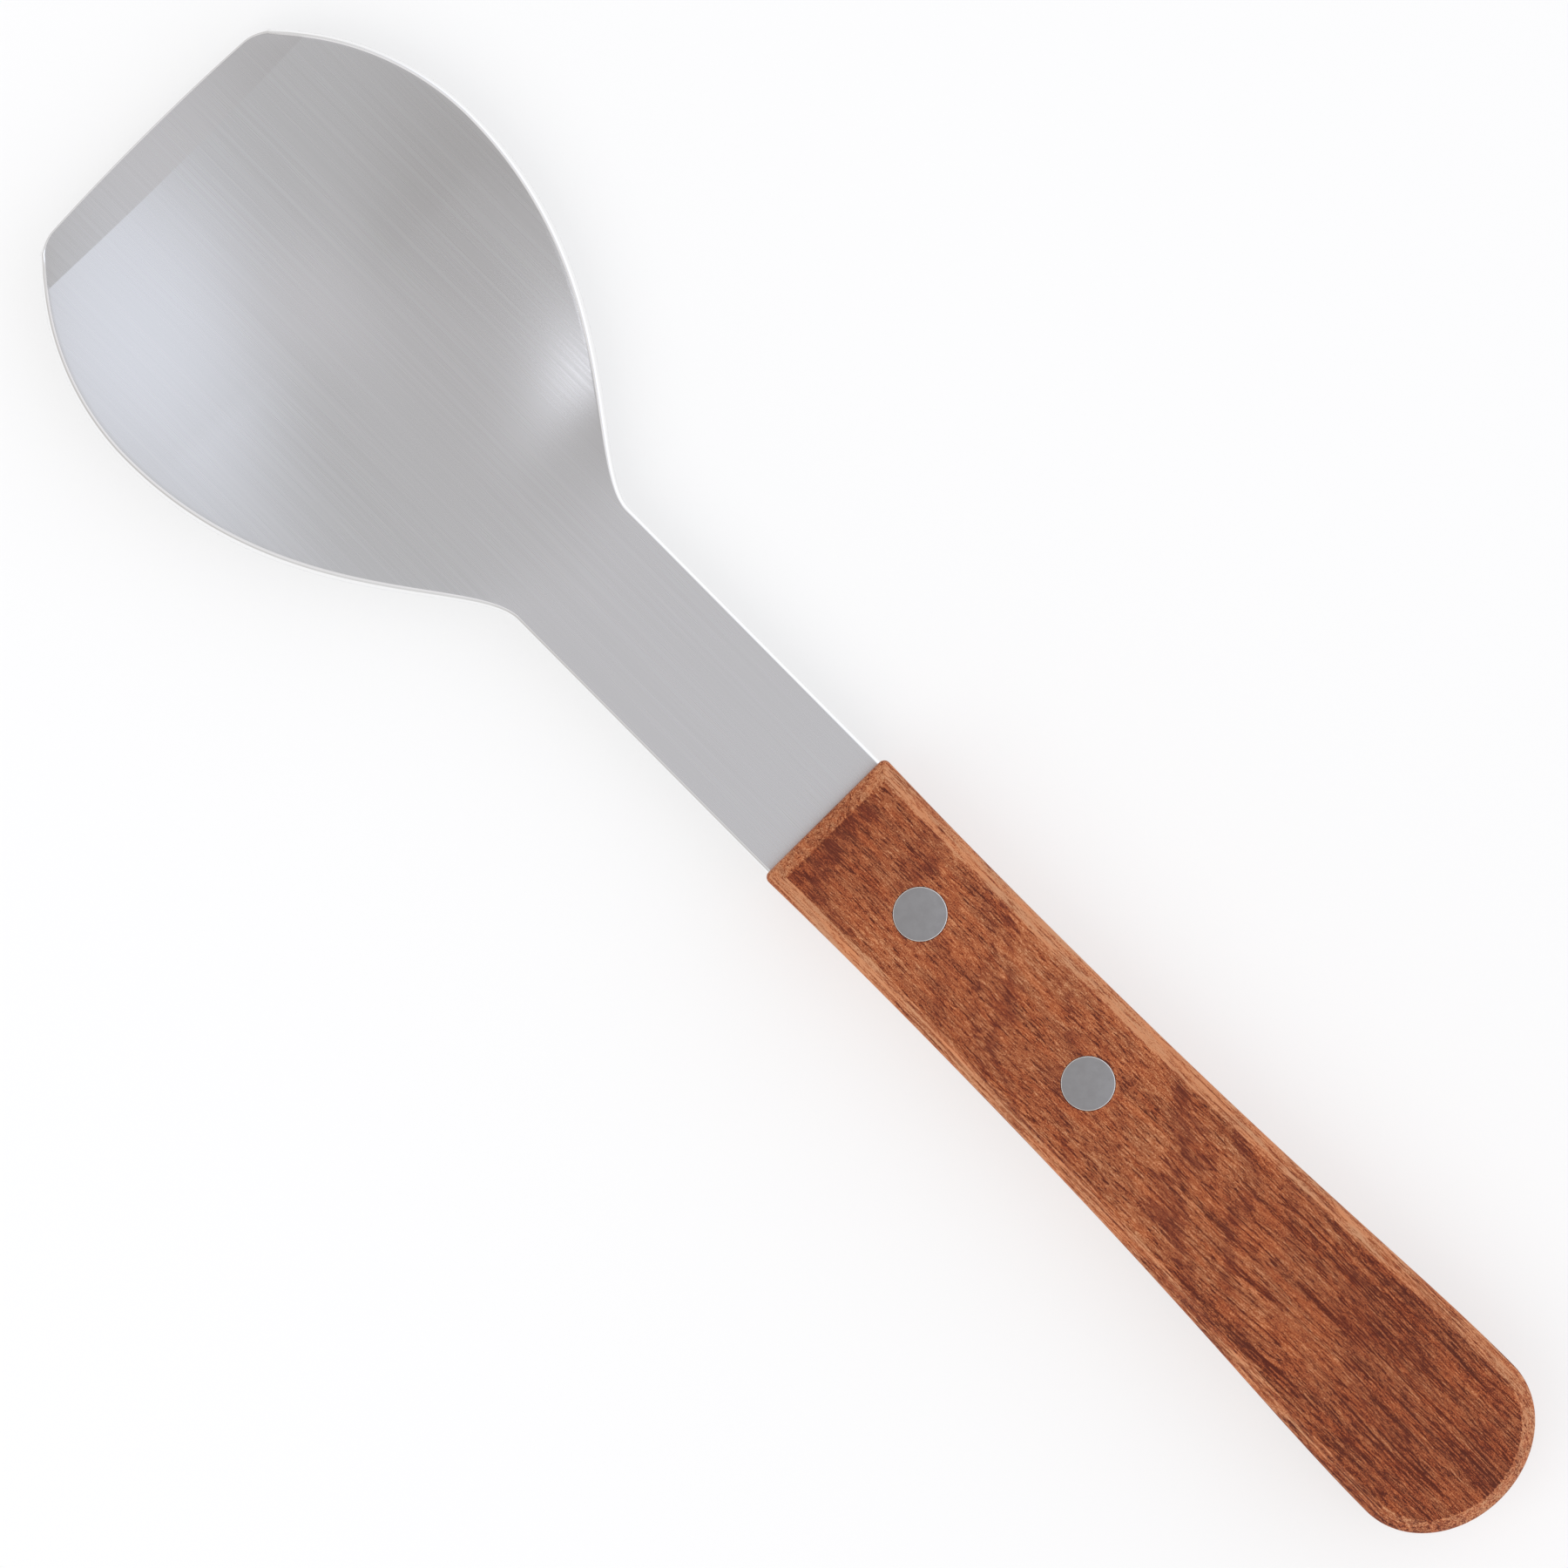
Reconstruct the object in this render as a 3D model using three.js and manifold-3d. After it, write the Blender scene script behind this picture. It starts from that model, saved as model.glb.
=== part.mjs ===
// Ice cream spade. A stamped steel blade has a dished bowl, a flat neck and a flat tang. The tang sits in
// a slot sawn into a one-piece wooden handle and is held by two rivets, each made of a tube half and a
// post half. Millimetres, +X towards the cutting edge, +Z up, with the hollow of the bowl facing up.

import * as THREE from 'three';
import { mergeVertices } from 'three/addons/utils/BufferGeometryUtils.js';
import Module from 'manifold-3d';

const wasm = await Module();
wasm.setup();

// Blade outline
const BOWL_LENGTH = 72.4; // from the cutting edge to where the sides become the neck's
const BOWL_WIDTH = 58.8; // across the middle of the sheet, whose rim slopes out a little further below
const WIDEST_FROM_EDGE = 26;
const CUTTING_EDGE_WIDTH = 35.8; // between its corners, before they are rounded
const CUTTING_EDGE_BOW = 0.65; // how far its middle stands ahead of its corners
const CORNER_RADIUS = 4.5;
const NECK_WIDTH = 19;
const NECK_LENGTH = 42.4;
const SHOULDER_FULLNESS = 0.566; // pull of the bowl's wide part on the shoulder curve, 0 to 1
const NECK_BLEND = 0.152; // pull of the neck on the shoulder curve, 0 to 1

// Blade section
const SHEET_THICKNESS = 1.5;
const CUTTING_EDGE_THICKNESS = 0.6;
const GROUND_WIDTH = 5; // width of the bevel ground on the upper face along the cutting edge
const DISH_DEPTH = 7.25;
const DEEPEST_FROM_EDGE = 30.4;
const DISH_RUN_OUT = 3.6; // how far the dish fades out into the neck
const RIM_EASE = 0.3; // how much the dish levels out towards its rim, 0 for a plain parabola

// Rivets
const RIVET_FROM_FRONT = 16.1; // front rivet behind the handle's front
const RIVET_PITCH = 28.2;
const HEAD_DIAMETER = 6.5;
const HEAD_THICKNESS = 1.4;
const HEAD_CHAMFER = 0.3;
const HEAD_RECESS = 0.1; // head below the face of the wood
const TUBE_DIAMETER = 4.4;
const PIN_DIAMETER = 2.6;
const PIN_SHORT_OF_BORE = 0.6;

// Tang
const TANG_BEHIND_RIVET = 11.5;
const TANG_END_RADIUS = 4;

// Handle
const HANDLE_LENGTH = 113.8;
const HANDLE_THICKNESS = 16;
const HANDLE_BEVEL = 2;
const OVER_NECK = 0.6; // how far the handle's front stands out past each edge of the neck
const WAIST_FROM_FRONT = 20;
const WAIST_INSET = 0.25; // each side, against the handle's front
const BUTT_FLARE = 2.2; // each side, against the handle's front
const BUTT_ROUND_LENGTH = 10.2;
const WAIST_HOLD = 0.6; // pull of the waist on the flare curve, 0 to 1
const BUTT_HOLD = 0.215; // pull of the butt on the flare curve, 0 to 1

// Clearances, each on one side
const SLOT_CLEARANCE = 0.1;
const SLOT_END_CLEARANCE = 0.5;
const SHANK_CLEARANCE = 0.1;
const HEAD_CLEARANCE = 0.2;
const HEAD_SEAT_CLEARANCE = 0.05;
const PIN_CLEARANCE = 0.05;
const TUBE_END_CLEARANCE = 0.3;

// Facets
const BLADE_COLUMNS = 24;
const GROUND_ROWS = 2;
const FRONT_ROWS = 8;
const SHOULDER_ROWS = 16;
const CORNER_ROWS = 4;
const TAPER_STEPS = 4; // few, so that each step is longer than the bevel that runs round the front corner
const HANDLE_CURVE_STEPS = 14;
const ROUND_SIDES = 28;
const CUT_OVERRUN = 1; // how far a cutting shape reaches past the face that it cuts

// Sizes that follow from the ones above
const handleFront = BOWL_LENGTH + NECK_LENGTH;
const overallLength = handleFront + HANDLE_LENGTH;
const neckHalf = NECK_WIDTH / 2;
const frontHalf = neckHalf + OVER_NECK;
const waistHalf = frontHalf - WAIST_INSET;
const buttHalf = frontHalf + BUTT_FLARE;
const tangLength = RIVET_FROM_FRONT + RIVET_PITCH + TANG_BEHIND_RIVET;
const tangEnd = handleFront + tangLength;
const dishEnd = BOWL_LENGTH + DISH_RUN_OUT;
const shankRadius = TUBE_DIAMETER / 2;
const headRadius = HEAD_DIAMETER / 2;
const headTop = HANDLE_THICKNESS / 2 - HEAD_RECESS;
const headSeat = headTop - HEAD_THICKNESS;

// Places are measured back from the middle of the cutting edge, and the object is centred on its length.
const along = (back) => overallLength / 2 - back;

const steps = (from, to, count) => Array.from({ length: count + 1 }, (_, i) => from + ((to - from) * i) / count);

function solidOf(geometry) {
  geometry.deleteAttribute('normal');
  geometry.deleteAttribute('uv');
  const merged = mergeVertices(geometry);
  const vertProperties = new Float32Array(merged.attributes.position.array);
  const triVerts = new Uint32Array(merged.index.array);
  return new wasm.Manifold(new wasm.Mesh({ numProp: 3, vertProperties, triVerts }));
}

function geometryOf(solid) {
  const { vertProperties, triVerts } = solid.getMesh();
  const geometry = new THREE.BufferGeometry();
  geometry.setAttribute('position', new THREE.BufferAttribute(vertProperties, 3));
  geometry.setIndex(new THREE.BufferAttribute(triVerts, 1));
  geometry.computeVertexNormals();
  return geometry;
}

function uprightCylinder(radius, bottom, top, back) {
  const cylinder = new THREE.CylinderGeometry(radius, radius, top - bottom, ROUND_SIDES);
  cylinder.rotateX(Math.PI / 2);
  cylinder.translate(along(back), 0, (bottom + top) / 2);
  return solidOf(cylinder);
}

const rivetPlaces = {
  front: handleFront + RIVET_FROM_FRONT,
  rear: handleFront + RIVET_FROM_FRONT + RIVET_PITCH,
};

// Front of the blade: the bowed cutting edge, the arc of each side, and the round that joins them. Points
// are (back, across).
function bladeFront() {
  const corner = new THREE.Vector2(CUTTING_EDGE_BOW, CUTTING_EDGE_WIDTH / 2);
  const bowRadius = corner.lengthSq() / (2 * CUTTING_EDGE_BOW);
  const bowCentre = new THREE.Vector2(bowRadius, 0);
  const widest = new THREE.Vector2(WIDEST_FROM_EDGE, BOWL_WIDTH / 2);
  const sideRadius = corner.distanceToSquared(widest) / (2 * (widest.y - corner.y));
  const sideCentre = new THREE.Vector2(widest.x, widest.y - sideRadius);

  // The round's centre lies inside both arcs, a corner radius from each.
  const toBow = bowRadius - CORNER_RADIUS;
  const toSide = sideRadius - CORNER_RADIUS;
  const between = sideCentre.clone().sub(bowCentre);
  const distance = between.length();
  const reach = (toBow ** 2 - toSide ** 2 + distance ** 2) / (2 * distance);
  const offset = Math.sqrt(toBow ** 2 - reach ** 2);
  const direction = between.normalize();
  const normal = new THREE.Vector2(direction.y, -direction.x);
  const centre = bowCentre.clone().addScaledVector(direction, reach);
  centre.addScaledVector(normal, normal.y > 0 ? offset : -offset);

  const edgeEnd = centre.clone().sub(bowCentre).setLength(bowRadius).add(bowCentre);
  const sideStart = centre.clone().sub(sideCentre).setLength(sideRadius).add(sideCentre);

  return {
    sideStart,
    sideHalf: (back) => sideCentre.y + Math.sqrt(sideRadius ** 2 - (back - sideCentre.x) ** 2),
    setback(across) {
      const out = Math.abs(across);
      return out < edgeEnd.y
        ? bowRadius - Math.sqrt(bowRadius ** 2 - out ** 2)
        : centre.x - Math.sqrt(CORNER_RADIUS ** 2 - (out - centre.y) ** 2);
    },
  };
}

// Points down one side of the blade, from the round of the front corner to the end of the tang.
function bladeStations(front) {
  const groundEnd = front.sideStart.x + GROUND_WIDTH;
  const onArc = (back) => new THREE.Vector2(back, front.sideHalf(back));
  const run = BOWL_LENGTH - WIDEST_FROM_EDGE;
  const shoulder = new THREE.CubicBezierCurve(
    new THREE.Vector2(WIDEST_FROM_EDGE, BOWL_WIDTH / 2),
    new THREE.Vector2(WIDEST_FROM_EDGE + SHOULDER_FULLNESS * run, BOWL_WIDTH / 2),
    new THREE.Vector2(BOWL_LENGTH - NECK_BLEND * run, neckHalf),
    new THREE.Vector2(BOWL_LENGTH, neckHalf),
  );
  const tangCorner = steps(0, Math.PI / 2, CORNER_ROWS).map(
    (turn) =>
      new THREE.Vector2(
        tangEnd - TANG_END_RADIUS * (1 - Math.sin(turn)),
        neckHalf - TANG_END_RADIUS * (1 - Math.cos(turn)),
      ),
  );
  return [
    ...steps(front.sideStart.x, groundEnd, GROUND_ROWS).map(onArc),
    ...steps(groundEnd, WIDEST_FROM_EDGE, FRONT_ROWS).slice(1).map(onArc),
    ...shoulder.getPoints(SHOULDER_ROWS).slice(1),
    new THREE.Vector2(dishEnd, neckHalf),
    ...tangCorner,
  ];
}

// Depth of the dish at a place down the blade and across it, from -1 at one rim to 1 at the other.
function dishDepth(back, side) {
  const share = (back - DEEPEST_FROM_EDGE) / (dishEnd - DEEPEST_FROM_EDGE);
  const section = (1 - side ** 2) * (1 - RIM_EASE * side ** 2);
  return share < 1 ? DISH_DEPTH * Math.cos((Math.PI / 2) * share) ** 2 * section : 0;
}

// The sheet's middle surface as rows of points across the blade, with the thickness at each point. Rows
// near the front follow the cutting edge and straighten out towards the widest part.
function bladeRows() {
  const front = bladeFront();
  const groundEnd = front.sideStart.x + GROUND_WIDTH;
  return bladeStations(front).map((station) => {
    const follow = THREE.MathUtils.clamp((WIDEST_FROM_EDGE - station.x) / (WIDEST_FROM_EDGE - groundEnd), 0, 1);
    return steps(-1, 1, BLADE_COLUMNS).map((side) => {
      const edge = front.setback(side * front.sideStart.y);
      const back = station.x + follow * (edge - front.sideStart.x);
      const ground = THREE.MathUtils.clamp((station.x - front.sideStart.x) / GROUND_WIDTH, 0, 1);
      return {
        middle: new THREE.Vector3(along(back), side * station.y, -dishDepth(back, side)),
        thickness: THREE.MathUtils.lerp(CUTTING_EDGE_THICKNESS, SHEET_THICKNESS, ground),
      };
    });
  });
}

function bladeGeometry() {
  const rows = bladeRows();
  const lastRow = rows.length - 1;
  const middle = (row, column) =>
    rows[THREE.MathUtils.clamp(row, 0, lastRow)][THREE.MathUtils.clamp(column, 0, BLADE_COLUMNS)].middle;
  const upper = [];
  const lower = [];
  rows.forEach((points, row) => {
    points.forEach(({ middle: point, thickness }, column) => {
      const acrossBlade = middle(row, column + 1).clone().sub(middle(row, column - 1));
      const downBlade = middle(row + 1, column).clone().sub(middle(row - 1, column));
      const normal = acrossBlade.cross(downBlade).normalize();
      upper.push(...point.clone().addScaledVector(normal, thickness - SHEET_THICKNESS / 2));
      lower.push(...point.clone().addScaledVector(normal, -SHEET_THICKNESS / 2));
    });
  });

  const width = BLADE_COLUMNS + 1;
  const underside = rows.length * width;
  const index = [];
  for (let row = 0; row < lastRow; row += 1) {
    for (let column = 0; column < BLADE_COLUMNS; column += 1) {
      const a = row * width + column;
      const b = a + 1;
      const c = b + width;
      const d = a + width;
      index.push(a, b, c, a, c, d);
      index.push(underside + a, underside + c, underside + b, underside + a, underside + d, underside + c);
    }
  }

  const rim = [];
  for (let column = 0; column < BLADE_COLUMNS; column += 1) {
    rim.push(column);
  }
  for (let row = 0; row < lastRow; row += 1) {
    rim.push(row * width + BLADE_COLUMNS);
  }
  for (let column = BLADE_COLUMNS; column > 0; column -= 1) {
    rim.push(lastRow * width + column);
  }
  for (let row = lastRow; row > 0; row -= 1) {
    rim.push(row * width);
  }
  rim.forEach((a, i) => {
    const b = rim[(i + 1) % rim.length];
    index.push(b, a, underside + a, b, underside + a, underside + b);
  });

  const sheet = new THREE.BufferGeometry();
  sheet.setAttribute('position', new THREE.Float32BufferAttribute([...upper, ...lower], 3));
  sheet.setIndex(index);

  let blade = solidOf(sheet);
  for (const back of Object.values(rivetPlaces)) {
    blade = blade.subtract(
      uprightCylinder(shankRadius + SHANK_CLEARANCE, -SHEET_THICKNESS, SHEET_THICKNESS, back),
    );
  }
  return geometryOf(blade);
}

// Plan of the handle: square front, slight waist, flare to the butt and a half-ellipse end.
function handlePlan() {
  const front = along(handleFront);
  const waist = along(handleFront + WAIST_FROM_FRONT);
  const butt = along(overallLength - BUTT_ROUND_LENGTH);
  const run = waist - butt;
  const taper = new THREE.QuadraticBezierCurve(
    new THREE.Vector2(front, frontHalf),
    new THREE.Vector2((front + waist) / 2, waistHalf),
    new THREE.Vector2(waist, waistHalf),
  ).getPoints(TAPER_STEPS);
  const plan = new THREE.Shape();
  plan.moveTo(front, -frontHalf);
  taper.forEach((point) => plan.lineTo(point.x, point.y));
  plan.bezierCurveTo(waist - WAIST_HOLD * run, waistHalf, butt + BUTT_HOLD * run, buttHalf, butt, buttHalf);
  plan.absellipse(butt, 0, BUTT_ROUND_LENGTH, buttHalf, Math.PI / 2, (3 * Math.PI) / 2);
  plan.bezierCurveTo(butt + BUTT_HOLD * run, -buttHalf, waist - WAIST_HOLD * run, -waistHalf, waist, -waistHalf);
  taper.reverse().forEach((point) => plan.lineTo(point.x, -point.y));
  return plan;
}

function handleGeometry() {
  const depth = HANDLE_THICKNESS - 2 * HANDLE_BEVEL;
  const body = new THREE.ExtrudeGeometry(handlePlan(), {
    depth,
    curveSegments: HANDLE_CURVE_STEPS,
    bevelThickness: HANDLE_BEVEL,
    bevelSize: HANDLE_BEVEL,
    bevelOffset: -HANDLE_BEVEL,
    bevelSegments: 1,
  });
  body.translate(0, 0, -depth / 2);

  const slotLength = tangLength + SLOT_END_CLEARANCE + CUT_OVERRUN;
  const slotHeight = SHEET_THICKNESS + 2 * SLOT_CLEARANCE;
  const slot = new THREE.BoxGeometry(slotLength, 2 * (buttHalf + CUT_OVERRUN), slotHeight);
  slot.translate(along(handleFront) + CUT_OVERRUN - slotLength / 2, 0, 0);

  let handle = solidOf(body).subtract(solidOf(slot));
  const face = HANDLE_THICKNESS / 2 + CUT_OVERRUN;
  const seat = headSeat - HEAD_SEAT_CLEARANCE;
  for (const back of Object.values(rivetPlaces)) {
    handle = handle
      .subtract(uprightCylinder(shankRadius + SHANK_CLEARANCE, -face, face, back))
      .subtract(uprightCylinder(headRadius + HEAD_CLEARANCE, seat, face, back))
      .subtract(uprightCylinder(headRadius + HEAD_CLEARANCE, -face, -seat, back));
  }
  return geometryOf(handle);
}

function turned(profile) {
  const geometry = new THREE.LatheGeometry(
    profile.map(([radius, height]) => new THREE.Vector2(radius, height)),
    ROUND_SIDES,
  );
  geometry.rotateX(Math.PI / 2);
  return geometryOf(solidOf(geometry));
}

// Upper half of a rivet: a flat head over a tube with a blind bore.
function rivetTubeGeometry() {
  const boreRadius = PIN_DIAMETER / 2 + PIN_CLEARANCE;
  const tubeEnd = -headSeat + TUBE_END_CLEARANCE;
  return turned([
    [0, headSeat],
    [boreRadius, headSeat],
    [boreRadius, tubeEnd],
    [shankRadius, tubeEnd],
    [shankRadius, headSeat],
    [headRadius, headSeat],
    [headRadius, headTop - HEAD_CHAMFER],
    [headRadius - HEAD_CHAMFER, headTop],
    [0, headTop],
  ]);
}

// Lower half of a rivet: a flat head under a pin that fills the tube's bore.
function rivetPostGeometry() {
  const pinRadius = PIN_DIAMETER / 2;
  return turned([
    [0, -headTop],
    [headRadius - HEAD_CHAMFER, -headTop],
    [headRadius, -headTop + HEAD_CHAMFER],
    [headRadius, -headSeat],
    [pinRadius, -headSeat],
    [pinRadius, headSeat - PIN_SHORT_OF_BORE],
    [0, headSeat - PIN_SHORT_OF_BORE],
  ]);
}

function piece(name, geometry, color, roughness, metalness) {
  const mesh = new THREE.Mesh(geometry, new THREE.MeshStandardMaterial({ color, roughness, metalness }));
  mesh.name = name;
  return mesh;
}

// The tang's middle plane is at zero in each piece, and the whole spade is lifted to lie on z = 0.
const spade = new THREE.Group();
spade.position.z = Math.max(HANDLE_THICKNESS / 2, DISH_DEPTH + SHEET_THICKNESS / 2);
spade.add(piece('blade', bladeGeometry(), 0xbcbcbf, 0.3, 1));
spade.add(piece('handle', handleGeometry(), 0xae6a3f, 0.55, 0));
for (const [place, back] of Object.entries(rivetPlaces)) {
  const rivet = new THREE.Group();
  rivet.position.x = along(back);
  rivet.add(piece(`${place}_rivet_tube`, rivetTubeGeometry(), 0x979899, 0.4, 1));
  rivet.add(piece(`${place}_rivet_post`, rivetPostGeometry(), 0x979899, 0.4, 1));
  spade.add(rivet);
}

export default spade;
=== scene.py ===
"""Ice cream spade: a dished brushed steel blade, a slotted wooden handle and two flush rivets."""

import math
from types import SimpleNamespace

import bmesh
import bpy
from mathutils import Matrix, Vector


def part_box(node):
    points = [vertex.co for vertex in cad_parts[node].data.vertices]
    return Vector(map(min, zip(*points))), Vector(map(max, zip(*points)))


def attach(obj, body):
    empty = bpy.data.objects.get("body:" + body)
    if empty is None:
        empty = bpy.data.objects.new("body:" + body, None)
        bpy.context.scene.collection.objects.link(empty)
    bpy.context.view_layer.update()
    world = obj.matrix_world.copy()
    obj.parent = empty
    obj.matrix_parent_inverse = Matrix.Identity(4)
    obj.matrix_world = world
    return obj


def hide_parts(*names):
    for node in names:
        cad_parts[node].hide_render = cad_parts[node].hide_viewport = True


bl_info = {
    "name": "Ice Cream Spade",
    "version": (1, 0, 0),
    "blender": (4, 5, 0),
    "location": "View3D > Sidebar > Spade",
    "description": "Builds an ice cream spade with a brushed steel blade, a wooden handle and two rivets",
    "category": "Add Mesh",
}

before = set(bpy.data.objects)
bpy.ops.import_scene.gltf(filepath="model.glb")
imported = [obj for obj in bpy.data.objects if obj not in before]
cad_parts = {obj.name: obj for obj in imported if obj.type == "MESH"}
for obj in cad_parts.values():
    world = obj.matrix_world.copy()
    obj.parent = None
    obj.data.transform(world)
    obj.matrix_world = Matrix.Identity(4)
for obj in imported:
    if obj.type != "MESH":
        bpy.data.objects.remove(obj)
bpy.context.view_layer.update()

MM = 0.001
MM_PER_METRE = 1000.0
MILLIWATT = 0.001
ROOT = "root"

# Fineness of the meshes
GROUND_ROWS = 8
SIDE_ROWS = 40
SHOULDER_ROWS = 72
RUN_OUT_ROWS = 8
TANG_ROWS = 12
BLADE_COLUMNS = 120
RIM_STEPS = 4
HANDLE_ROWS = 90
BUTT_STEPS = 40
RIDGE_STEPS = 4
CORNER_STEPS = 6
HEAD_RIM_STEPS = 5
TURNED_SIDES = 96
FLARE_HALVINGS = 40
SHARP_ANGLE = math.radians(35)
MERGE_DISTANCE = 0.001 * MM

# Room for the cuts
CUT_PAST = 1.0 * MM
SLOT_PAST_TANG = 0.5 * MM
SLOT_CUT_WIDTH = 60.0 * MM

# Limits of the rounds
RIM_SHARE_OF_SHEET = 0.45
LEAST_CORNER = 0.12 * MM

# Places that the CAD parts give
blade_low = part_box("blade")[0]
handle_low, handle_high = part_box("handle")
tang_level = (handle_low.z + handle_high.z) / 2
edge_x = -handle_low.x
rivet_boxes = {place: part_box(f"{place}_rivet_tube") for place in ("front", "rear")}
post_boxes = {place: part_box(f"{place}_rivet_post") for place in ("front", "rear")}


def length(name, description, default):
    """A length that a user may change."""
    return bpy.props.FloatProperty(
        name=name, description=description, default=default, min=0.0, unit="LENGTH", precision=4
    )


def share(name, description, default):
    """A number from 0 to 1 that a user may change."""
    return bpy.props.FloatProperty(
        name=name, description=description, default=default, min=0.0, max=1.0, subtype="FACTOR"
    )


def number(name, description, default):
    """A plain number that a user may change."""
    return bpy.props.FloatProperty(name=name, description=description, default=default, precision=3)


def angle(name, description, degrees):
    """An angle that a user may change."""
    return bpy.props.FloatProperty(
        name=name, description=description, default=math.radians(degrees), subtype="ANGLE"
    )


def triple(name, description, default):
    """A place or a direction that a user may change."""
    return bpy.props.FloatVectorProperty(name=name, description=description, default=default, precision=4)


def colour(name, description, default):
    """A linear colour that a user may change."""
    return bpy.props.FloatVectorProperty(
        name=name, description=description, default=default, size=3, min=0.0, max=1.0, subtype="COLOR"
    )


class SPADE_PG_blade(bpy.types.PropertyGroup):
    """Sizes and finish of the blade"""

    bowl_length: length("Bowl length", "Cutting edge to the start of the neck", 72.4 * MM)
    bowl_width: length("Bowl width", "Widest part, across the middle of the sheet", 58.8 * MM)
    widest_from_edge: length("Widest from edge", "Cutting edge to the widest part", 26.0 * MM)
    edge_width: length("Cutting edge width", "Between its corners before rounding", 35.8 * MM)
    edge_bow: length("Cutting edge bow", "Its middle ahead of its corners", 0.65 * MM)
    corner_radius: length("Corner radius", "Round of the front corners", 4.5 * MM)
    neck_width: length("Neck width", "Width of the neck and tang", 19.0 * MM)
    shoulder_fullness: share("Shoulder fullness", "Pull of the wide part on the shoulder", 0.566)
    neck_blend: share("Neck blend", "Pull of the neck on the shoulder", 0.152)
    sheet: length("Sheet thickness", "Thickness of the steel", 1.5 * MM)
    edge_thickness: length("Edge thickness", "Thickness left at the cutting edge", 0.6 * MM)
    ground_width: length("Ground width", "Cutting edge's middle to the end of its bevel", 5.0 * MM)
    dish_depth: length("Dish depth", "Depth of the bowl below its rim", 7.25 * MM)
    deepest_from_edge: length("Deepest from edge", "Cutting edge to the deepest point", 30.4 * MM)
    dish_run_out: length("Dish run-out", "How far the dish fades into the neck", 3.6 * MM)
    rim_ease: share("Rim ease", "How much the dish levels out towards its rim", 0.3)
    shoulder_steepness: share("Shoulder steepness", "Extra steepness of the wall at the shoulders", 0.3)
    tang_round: length("Tang round", "Round of the tang's hidden corners", 4.0 * MM)
    rim_round: length("Rim round", "Rounded edge all round the sheet", 0.5 * MM)
    steel: colour("Steel", "Colour of the brushed steel", (0.62, 0.62, 0.63))
    # Painted highlight: the polished rim is coloured lighter than the steel, standing in for the light it
    # catches.
    painted_rim_highlight: colour("Rim steel", "Colour of the polished rim", (0.93, 0.93, 0.93))
    brushing: share("Brushing", "How much the brush lines stretch a reflection", 0.4)


class SPADE_PG_handle(bpy.types.PropertyGroup):
    """Sizes and finish of the handle"""

    over_neck: length("Over neck", "Handle's front past each edge of the neck", 0.6 * MM)
    waist_from_front: length("Waist from front", "Front to the narrowest part", 20.0 * MM)
    waist_inset: length("Waist inset", "Each side, against the front", 0.25 * MM)
    butt_flare: length("Butt flare", "Each side, against the front", 2.2 * MM)
    butt_round: length("Butt round", "Length of the rounded end", 10.2 * MM)
    waist_hold: share("Waist hold", "Pull of the waist on the flare", 0.6)
    butt_hold: share("Butt hold", "Pull of the butt on the flare", 0.215)
    side_bevel: length("Side bevel", "Bevel along the sides and front", 2.0 * MM)
    butt_bevel: length("Butt bevel", "Bevel at the very end", 1.6 * MM)
    corner_radius: length("Corner radius", "Front corners seen from above", 0.8 * MM)
    edge_round: length("Edge round", "How far the rounding of a ridge reaches to each side", 0.7 * MM)
    slot_clearance: length("Slot clearance", "Room on each face of the tang", 0.1 * MM)
    pore: colour("Pore", "Open pores", (0.095, 0.017, 0.008))
    wood_deep: colour("Deep wood", "Dark streaks along the grain", (0.25, 0.0545, 0.0195))
    wood: colour("Wood", "Plain wood", (0.36, 0.096, 0.037))
    wood_pale: colour("Pale wood", "Light flecks", (0.455, 0.153, 0.063))
    # The palest tone, used mostly on the bevels.
    lightest_wood: colour("Sanded wood", "Lightest wood, mostly on the sanded bevels", (0.64, 0.285, 0.15))
    olive: colour("Olive tint", "Tint of the duller fibres", (0.93, 1.0, 0.97))
    orange: colour("Orange tint", "Tint of the redder fibres", (1.0, 0.88, 0.72))
    figure: colour("Figure", "Red of the growth bands", (0.165, 0.030, 0.013))


class SPADE_PG_rivet(bpy.types.PropertyGroup):
    """Sizes and finish of the rivets"""

    tube: length("Tube diameter", "Outside of the upper half's tube", 4.4 * MM)
    pin: length("Pin diameter", "Pin of the lower half", 2.6 * MM)
    pin_clearance: length("Pin clearance", "Room round the pin", 0.05 * MM)
    head: length("Head thickness", "Thickness of each head", 1.4 * MM)
    rim: length("Head rim", "Round of each head's rim", 0.15 * MM)
    proud: length("Proud", "Shown head above the wood", 0.06 * MM)
    hole_clearance: length("Hole clearance", "Room round the tube", 0.1 * MM)
    head_clearance: length("Head clearance", "Room round each head", 0.045 * MM)
    steel: colour("Rivet steel", "Colour of the heads", (0.33, 0.325, 0.33))
    # Painted highlight on the heads' rounded rims.
    painted_rim_highlight: colour("Rim steel", "Brighter rim of the heads", (0.9, 0.9, 0.9))


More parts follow.
